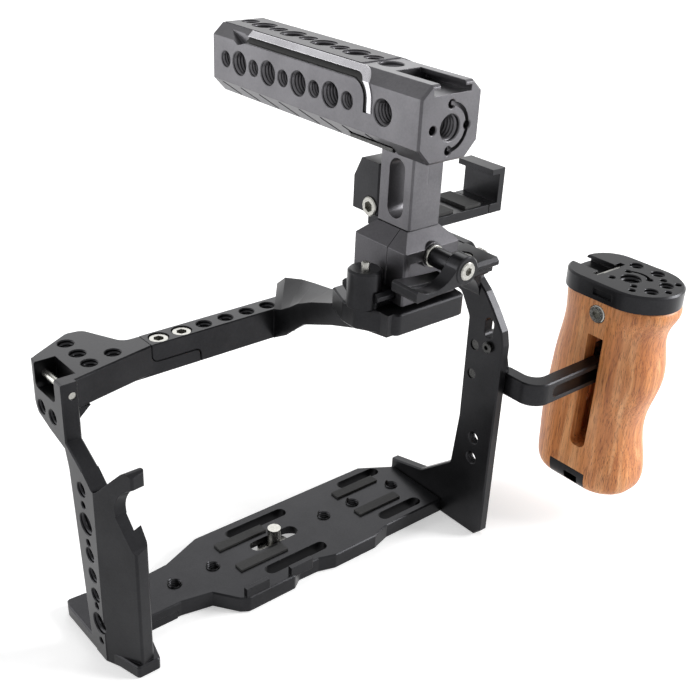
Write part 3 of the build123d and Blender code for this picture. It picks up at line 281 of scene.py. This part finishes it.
def moulded_rubber():
    material, tree, shader, place = new_material("moulded_rubber")
    specks = add_node(tree, "ShaderNodeTexNoise", {"Scale": 1 / RUBBER_SPECK, "Detail": 2.0},
                      {"Vector": place})
    colour = add_node(tree, "ShaderNodeValToRGB", {"stops": [(0.3, "#1a1a1a"), (0.7, "#242424")]},
                      {"Fac": specks.outputs["Fac"]})
    tree.links.new(colour.outputs["Color"], shader.inputs["Base Color"])
    shader.inputs["Roughness"].default_value = RUBBER_ROUGHNESS
    return material


rubber = moulded_rubber()

# %% [markdown]
# ## Give every solid its finish
#
# The record says which slot each solid belongs to, and each slot has one usual finish. The handle
# and the clamp under it were dyed in other batches and look greyer than the cage. The hex key and
# the right plate's screws are blackened. So these few solids are named one by one.

# %% Assign the finishes
SLOT_FINISH = {"black_anodised": cage_black, "steel": steel, "wood": wood, "rubber": rubber}
OWN_FINISH = {"handle_body": handle_black, "riser_post": handle_black,
              "clamp_body": clamp_black, "clamp_jaw": clamp_black,
              "hex_key": black_steel, "arm_screws": black_steel, "window_screw": black_steel}
slots = {part["node"]: part["material_slot"] for part in record["subparts"]}
for name, solid in nodes.items():
    solid.data.materials.clear()
    solid.data.materials.append(OWN_FINISH.get(name, SLOT_FINISH[slots[name]]))
print("finished", len(nodes), "solids,", len(OWN_FINISH), "of them with a finish of their own")

# %% [markdown]
# ## Screw threads
#
# Every tapped hole shows the bright and dark rings of its thread. A texture of rings would look
# flat at the hole's edge, so each thread is a real helix. One tooth, a vertex extruded in to the
# crest and back out to the root, is wound by the Screw modifier. The two sizes are the usual
# quarter inch and three eighths inch ones.

# %% Wind one thread
SMALL = 3.2                 # hole radius of a 1/4-20 thread, mm
LARGE = 4.8                 # hole radius of a 3/8-16 thread, mm
PITCH = {SMALL: 25.4 / 20, LARGE: 25.4 / 16}
TOOTH_DEPTH = 0.6           # how deep a tooth is, as a share of the pitch
FLANK = 0.42                # how long each of its slopes is, as a share too
CREST = 0.12                # and how wide its crest is
TURN_STEPS = 36
ROOT_OVER = 0.03            # the root lies this far inside the hole's wall, mm
MOUTH = 0.35                # the thread starts this far down, under the chamfer, mm


def wind_thread(radius, length):
    """A helical thread round +Z, from 0 down to -length."""
    pitch = PITCH[radius]
    root = radius + ROOT_OVER
    bpy.ops.mesh.primitive_plane_add(size=MM, location=(0, 0, 0))
    tooth = bpy.context.object
    bpy.ops.object.mode_set(mode="EDIT")
    bpy.ops.mesh.merge(type="CENTER")
    bpy.ops.transform.translate(value=(root * MM, 0, 0))
    for across, down in ((-TOOTH_DEPTH, FLANK), (0, CREST), (TOOTH_DEPTH, FLANK)):
        bpy.ops.mesh.extrude_vertices_move(
            TRANSFORM_OT_translate={"value": (across * pitch * MM, 0, -down * pitch * MM)})
    bpy.ops.object.mode_set(mode="OBJECT")
    winding = tooth.modifiers.new("winding", "SCREW")
    winding.axis = "Z"
    winding.screw_offset = -pitch * MM
    winding.iterations = max(1, int((length - MOUTH) / pitch))
    winding.steps = winding.render_steps = TURN_STEPS
    bpy.ops.object.modifier_apply(modifier="winding")
    return tooth


print("pitches", PITCH[SMALL], "and", PITCH[LARGE], "mm")

# %% [markdown]
# ## Rows of holes
#
# The tapped holes lie in a few rows. Their places could be read from the record, but a mount
# there can stand for several holes, and some would be missed. So a row is written down with its
# body, thread size, depth, inward direction and mouths, all in millimetres.

# %% List the rows on the cage
CAGE_TOP = 120              # Z of the top bar and the corner block
CAGE_LEFT = -126.4          # X of the corner block's and the left plate's outer face
BAR_FIRST, BAR_STEP = -76.4, 10.83      # X of the top bar's first hole, and the next ones' step
COLUMN_Y, COLUMN_Z = -6.4, 79.3         # the left plate's uppermost hole
COLUMN_LEAN = 0.0955        # how far the column leans forward per mm down


def in_column(z):
    """The mouth of the left plate's hole at this height."""
    return (CAGE_LEFT, COLUMN_Y - COLUMN_LEAN * (COLUMN_Z - z), z)


ROWS = [
    ("cage", SMALL, 14, "down", [(BAR_FIRST + BAR_STEP * i, 18, CAGE_TOP) for i in range(2, 6)]),
    ("cage", SMALL, 13, "down", [(x, y, CAGE_TOP) for x, y in ((-109.4, 33.9), (-109.4, 23.7),
                                                               (-109.4, 14), (-97.9, 16.6))]),
    ("cage", SMALL, 7, "right", [(CAGE_LEFT, y, 101.8) for y in (23, 13.4)]),
    ("cage", SMALL, 7, "right", [in_column(z) for z in (79.3, 49.9, 40.3, 30.8)]),
    ("cage", LARGE, 7, "right", [in_column(z) for z in (64.0, 17.1)]),
    ("cage", SMALL, 9, "down", [(x, -29, 145) for x in (30, 43)]),
    ("cage", SMALL, 5, "left", [(61.6, -40, z) for z in (52, 41)]),
    ("cage", SMALL, 8, "up", [(x, 0, 0) for x in (-84, -64, 0, 18, 44)]),
]
print(len(ROWS), "rows on the cage")

# %% List the rows on the handle and the grip
HANDLE_SIDE = 15            # X of the handle's flat sides
HANDLE_TOP = 230.8
HANDLE_STEP = 10.06         # from one hole to the next
SIDE_REAR, SIDE_Z = 59.2, 217.4         # the rearmost hole in each side
TOP_REAR = 62.2             # Y of the rearmost hole in the top
FRONT_HOLE = 10             # the side row's last place; the one before it is left out for the bead
CAP_TOP = 129               # Z of the grip's metal cap

top_holes = [(TOP_REAR - HANDLE_STEP * i, LARGE if i % 2 else SMALL) for i in range(10)]
ROWS.append(("top_handle", LARGE, 13, "back", [(0, -61.2, 214.6)]))
for i in (*range(9), FRONT_HOLE):
    size = LARGE if i % 2 or i == FRONT_HOLE else SMALL
    y = SIDE_REAR - HANDLE_STEP * i
    ROWS.append(("top_handle", size, 9, "right", [(-HANDLE_SIDE, y, SIDE_Z)]))
    ROWS.append(("top_handle", size, 9, "left", [(HANDLE_SIDE, y, SIDE_Z)]))
for y, size in top_holes:
    ROWS.append(("top_handle", size, 8, "down", [(0, y, HANDLE_TOP)]))
ROWS.append(("side_grip", LARGE, 9, "down", [(120.5, -68, CAP_TOP)]))
ROWS.append(("side_grip", SMALL, 9, "down", [(x, y, CAP_TOP) for x, y in (
    (116, -82.5), (127.5, -82.5), (135.7, -72), (135.7, -60))]))
print(len(ROWS), "rows in all")

# %% [markdown]
# ## A thread in every hole
#
# Holes of one size and depth have the same thread. It could be wound anew in each hole, but it is
# quicker to wind it once and copy it, each copy with its own mesh. A copy is turned until its axis
# points out of the hole, and set just under the hole's mouth.

# %% Copy the threads
INTO = {"down": (0, 0, -1), "up": (0, 0, 1), "right": (1, 0, 0), "left": (-1, 0, 0),
        "back": (0, 1, 0)}

threads = {}
wound = {}
for body, size, depth, into, mouths in ROWS:
    inward = Vector(INTO[into])
    if (size, depth) not in wound:
        wound[size, depth] = wind_thread(size, depth)
    for mouth in mouths:
        thread = wound[size, depth].copy()
        thread.data = thread.data.copy()
        bpy.context.scene.collection.objects.link(thread)
        thread.rotation_euler = (-inward).to_track_quat("Z", "X").to_euler()
        thread.location = (Vector(mouth) + inward * MOUTH) * MM
        threads.setdefault(body, []).append(thread)
for thread in wound.values():
    bpy.data.objects.remove(thread)
print("wound", len(wound), "threads for", sum(map(len, threads.values())), "holes")

# %% [markdown]
# ## One piece for each body
#
# The threads in one metal part are one piece with it and move with it. Joining them keeps the
# list of pieces short, and applying their places puts the joined piece's own origin at the
# world's, as the solids have it. Every new piece is then named, finished and told which body it
# rides on.

# %% Join and dress the threads
def join(pieces):
    """Joins pieces into one object that sits at the origin."""
    bpy.ops.object.select_all(action="DESELECT")
    for piece in pieces:
        piece.select_set(True)
    bpy.context.view_layer.objects.active = pieces[0]
    bpy.ops.object.join()
    joined = bpy.context.object
    bpy.ops.object.transform_apply(location=True, rotation=True, scale=True)
    joined.select_set(False)
    return joined


def dress(piece, name, finish, body):
    """Names a new piece and gives it its finish and body."""
    piece.name = name
    piece.data.materials.clear()
    piece.data.materials.append(finish)
    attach(piece, body)
    print(name, len(piece.data.polygons), "faces")


THREAD_FINISH = {"cage": cage_black, "top_handle": handle_black, "side_grip": cage_black}
for body, pieces in threads.items():
    dress(join(pieces), body + "_threads", THREAD_FINISH[body], body)

# %% [markdown]
# ## The handle's beads and painted groove shade
#
# A smooth, bright bead runs over each long groove of the handle and turns down with it at the
# front. A dark strip of rubber lies in the groove as painted shade: it stands for the shadow in
# the groove, not for a real part. They could be bent curves with a profile, but their outer sides
# have to follow the handle's slanted edge. So a flat section is drawn along the handle, spun
# through a quarter turn and drawn down, and then one slanted cut gives it that side.

# %% Sweep a strip round the bend
REAR = 46.0                 # Y where the strips start, mm
BEND = (-24.0, 220.0)       # Y and Z of the middle of the groove's bend
BEND_STEPS = 12
DROP = 4.5                  # how far a strip runs on down after the bend
SLANT_AT = (15.0, 226.3)    # a point on the handle's slanted edge, X and Z
SLANT = (0.669, 0.743)      # and the way that edge faces
STRIP_EDGE = 0.2            # how much the strip's own edges are broken
WELD = 0.001                # corners nearer than this are one, mm


def sweep_strip(side, inner, outer, low, high, proud):
    """A strip from inner to outer X and from low to high over the bend's middle, then cut."""
    bpy.ops.mesh.primitive_plane_add(size=1.0, location=(0, 0, 0), rotation=(math.pi / 2, 0, 0))
    strip = bpy.context.object
    strip.scale = ((outer - inner) * MM, (high - low) * MM, 1.0)
    middle = (side * (inner + outer) / 2, REAR, BEND[1] + (low + high) / 2)
    strip.location = Vector(middle) * MM
    bpy.ops.object.transform_apply(location=True, rotation=True, scale=True)
    bpy.ops.object.mode_set(mode="EDIT")
    bpy.ops.mesh.select_all(action="SELECT")
    bpy.ops.mesh.extrude_region_move(
        TRANSFORM_OT_translate={"value": (0, (BEND[0] - REAR) * MM, 0)})
    bpy.ops.mesh.spin(steps=BEND_STEPS, angle=-math.pi / 2,
                      center=(0, BEND[0] * MM, BEND[1] * MM), axis=(1, 0, 0))
    bpy.ops.mesh.extrude_region_move(TRANSFORM_OT_translate={"value": (0, 0, -DROP * MM)})
    bpy.ops.mesh.select_all(action="SELECT")
    cut_at = (side * (SLANT_AT[0] + proud * SLANT[0]) * MM, 0,
              (SLANT_AT[1] + proud * SLANT[1]) * MM)
    bpy.ops.mesh.bisect(plane_co=cut_at, plane_no=(side * SLANT[0], 0, SLANT[1]),
                        use_fill=True, clear_outer=True)
    bpy.ops.mesh.select_all(action="SELECT")
    bpy.ops.mesh.remove_doubles(threshold=WELD * MM)
    bpy.ops.mesh.normals_make_consistent(inside=False)
    bpy.ops.object.mode_set(mode="OBJECT")
    edge = strip.modifiers.new("edge", "BEVEL")
    edge.width = STRIP_EDGE * MM
    edge.segments = 2
    edge.limit_method = "ANGLE"
    bpy.ops.object.modifier_apply(modifier="edge")
    return strip


print("strips run", REAR - BEND[0], "mm along the handle and", DROP, "mm down after the bend")

# %% Lay the beads and the painted groove shade
BEAD = {"inner": 10.4, "outer": 15.4, "low": 8.9, "high": 11.3, "proud": 0.5}
# the dark strip in the groove is painted shade, standing for the groove's shadow
GROOVE_SHADE = {"inner": 11.65, "outer": 14.4, "low": 6.7, "high": 8.7, "proud": -0.5}

bright_aluminium = anodised("bright_cut_aluminium", "#b4b3b7", "#c6c5c9", 0.22, 0.32)
# each side gets a bright bead and a dark strip of painted shade in its groove
for side, name in ((-1, "left"), (1, "right")):
    dress(sweep_strip(side, **BEAD), name + "_handle_bead", bright_aluminium, "top_handle")
    dress(sweep_strip(side, **GROOVE_SHADE), name + "_painted_groove_shade", rubber, "top_handle")

# %% [markdown]
# ## Knurled top of the handle
#
# Between its two beads the handle's top is cut with crossed grooves, so that a glove doesn't
# slip. The grooves trap the light, and the top looks much darker than the sides. Its finish is
# the handle's metal painted darker as well, as painted shade for the light lost in the grooves.
# A bump in the finish would be lost in the exported mesh. So a grid is laid on the top and every
# second corner of it is raised, as on a chessboard, which makes small pyramids.

# %% Raise the pyramids
KNURL_WIDTH = 19.6          # between the two slanted edges, mm
KNURL_FRONT = -22.6         # Y where the knurling ends, behind the shoe
KNURL_REAR = 67.0
KNURL_CELLS = (22, 90)      # cells across and along, about 0.9 by 1 mm
KNURL_LOW = 230.82          # just over the handle's flat top
KNURL_HEIGHT = 0.4
KNURL_BACKING = 0.6         # thickness under the pyramids

bpy.ops.mesh.primitive_grid_add(x_subdivisions=KNURL_CELLS[0], y_subdivisions=KNURL_CELLS[1],
                                size=1.0, location=(0, 0, 0))
knurl = bpy.context.object
knurl.scale = (KNURL_WIDTH * MM, (KNURL_REAR - KNURL_FRONT) * MM, 1.0)
knurl.location = (0, (KNURL_FRONT + KNURL_REAR) / 2 * MM, KNURL_LOW * MM)
bpy.ops.object.transform_apply(location=True, rotation=True, scale=True)
steps = (KNURL_WIDTH * MM / KNURL_CELLS[0], (KNURL_REAR - KNURL_FRONT) * MM / KNURL_CELLS[1])
for corner in knurl.data.vertices:
    column = round((corner.co.x + KNURL_WIDTH / 2 * MM) / steps[0])
    row = round((corner.co.y - KNURL_FRONT * MM) / steps[1])
    corner.select = (column + row) % 2 == 0
bpy.ops.object.mode_set(mode="EDIT")
bpy.ops.transform.translate(value=(0, 0, KNURL_HEIGHT * MM))
bpy.ops.mesh.select_all(action="SELECT")
bpy.ops.mesh.quads_convert_to_tris()
bpy.ops.object.mode_set(mode="OBJECT")
backing = knurl.modifiers.new("backing", "SOLIDIFY")
backing.thickness = KNURL_BACKING * MM
backing.offset = -1.0
bpy.ops.object.modifier_apply(modifier="backing")
print("knurling", len(knurl.data.polygons), "faces")

# %% [markdown]
# ## Holes through the knurling
#
# The knurling stops short of each hole of the top row, at a plain ring. Faces inside the rings
# could be deleted, but that would leave a ragged edge. A plug in every hole, taken away with the
# Boolean modifier, cuts a clean circle.

# %% Cut the holes out of it
HOLE_MARGIN = 0.7           # plain ring left round each hole, mm
PLUG_SIDES = 48
PLUG_HEIGHT = 4

for y, size in top_holes:
    bpy.ops.object.select_all(action="DESELECT")
    bpy.ops.mesh.primitive_cylinder_add(vertices=PLUG_SIDES, radius=(size + HOLE_MARGIN) * MM,
                                        depth=PLUG_HEIGHT * MM,
                                        location=(0, y * MM, KNURL_LOW * MM))
    plug = bpy.context.object
    hole = knurl.modifiers.new("hole", "BOOLEAN")
    hole.object = plug
    hole.operation = "DIFFERENCE"
    hole.solver = "EXACT"
    bpy.context.view_layer.objects.active = knurl
    bpy.ops.object.modifier_apply(modifier="hole")
    bpy.data.objects.remove(plug)
# the handle's own metal, painted darker: painted shade for the light trapped in the knurl's
# grooves
knurl_shade_black = anodised("knurled_anodised_aluminium_painted_shade", "#2f2e31", "#3d3c3f", 0.34, 0.46)
dress(knurl, "knurled_top", knurl_shade_black, "top_handle")

# %% [markdown]
# ## Floor
#
# The object stands on a sprayed white board that runs past every edge of the view. More light
# would make the board white, but it would bleach the object too. So the board glows a little
# where it is seen directly: more of it far away, where no lamp reaches, and less near the object,
# so that the shadow stays.

# %% Lay the board
BOARD_SIZE = 16.0           # m
BOARD_GAP = 0.2 * MM        # just under the feet
BOARD_ROUGHNESS = 0.8
WHITE = linear("#ffffff")
GLOW_DISTANCE = (0.5, 1.6)  # m from the origin, between which the glow grows
GLOW = (0.42, 0.8)          # and its strength at either end


def seen_directly(tree):
    """1 where the camera, a mirror or glass looks, and 0 where a surface only gives light."""
    path = add_node(tree, "ShaderNodeLightPath").outputs
    either = add_node(tree, "ShaderNodeMath", {"operation": "MAXIMUM"},
                      {0: path["Is Camera Ray"], 1: path["Is Glossy Ray"]})
    return add_node(tree, "ShaderNodeMath", {"operation": "MAXIMUM"},
                    {0: either.outputs["Value"], 1: path["Is Transmission Ray"]}).outputs["Value"]


def white_board():
    material, tree, shader, place = new_material("sprayed_white_board")
    distance = add_node(tree, "ShaderNodeVectorMath", {"operation": "LENGTH"}, {0: place})
    glow = add_node(tree, "ShaderNodeMapRange",
                    {"From Min": GLOW_DISTANCE[0], "From Max": GLOW_DISTANCE[1],
                     "To Min": GLOW[0], "To Max": GLOW[1]},
                    {"Value": distance.outputs["Value"]})
    seen_glow = add_node(tree, "ShaderNodeMath", {"operation": "MULTIPLY"},
                         {0: seen_directly(tree), 1: glow.outputs["Result"]})
    tree.links.new(seen_glow.outputs["Value"], shader.inputs["Emission Strength"])
    shader.inputs["Emission Color"].default_value = WHITE
    shader.inputs["Base Color"].default_value = linear("#f2f2f2")
    shader.inputs["Roughness"].default_value = BOARD_ROUGHNESS
    return material


bpy.ops.mesh.primitive_plane_add(size=BOARD_SIZE, location=(0, 0, -BOARD_GAP))
floor = bpy.context.object
floor.name = "table_top"
floor.data.materials.append(white_board())
print("board", BOARD_SIZE, "m wide")

# %% [markdown]
# ## Lamps
#
# Three soft lamps light the object. The strongest hangs over the front right and lights the wood.
# A weak one stands low behind the left side, so that the left faces of the metal are paler than
# the front ones, and another one hangs behind for the top faces. Wide lamps are used because a
# small one would leave hard glints on satin metal.

# %% Hang the lamps
AIM = Vector((0.0, 0.0, 0.1))
LAMPS = {                   # place and size in metres, and watts
    "left_softbox": ((-0.75, 0.55, 0.28), (0.9, 0.5), 5.0),
    "top_softbox": ((0.5, 0.9, 0.9), (0.9, 0.9), 4.0),
    "right_softbox": ((1.2, -0.9, 0.75), (0.7, 0.7), 32.0),
}
for name, (at, size, watts) in LAMPS.items():
    light = bpy.data.lights.new(name, "AREA")
    light.shape = "RECTANGLE"
    light.size, light.size_y = size
    light.energy = watts
    lamp = bpy.data.objects.new(name, light)
    lamp.location = at
    lamp.rotation_euler = (AIM - Vector(at)).to_track_quat("-Z", "Y").to_euler()
    bpy.context.scene.collection.objects.link(lamp)
    print(name, watts, "W")

# %% [markdown]
# ## World
#
# The room is white where the camera or a mirror sees it, and dim where it only gives light. One
# even white world would light the object from all sides and wash out its shadows.

# %% Paint the room
ROOM_LIGHT = 0.35
ROOM_SEEN = 1.0

world = bpy.data.worlds.new("white_room")
bpy.context.scene.world = world
world.use_nodes = True
room = world.node_tree
room.nodes.clear()
strength = add_node(room, "ShaderNodeMapRange", {"To Min": ROOM_LIGHT, "To Max": ROOM_SEEN},
                    {"Value": seen_directly(room)})
background = add_node(room, "ShaderNodeBackground", {"Color": WHITE},
                      {"Strength": strength.outputs["Result"]})
add_node(room, "ShaderNodeOutputWorld", links={"Surface": background.outputs["Background"]})
print("room", ROOM_LIGHT, "as a lamp,", ROOM_SEEN, "as a backdrop")

# %% [markdown]
# ## Finish
#
# At the end the view layer is brought up to date.

# %% Close
bpy.context.view_layer.update()
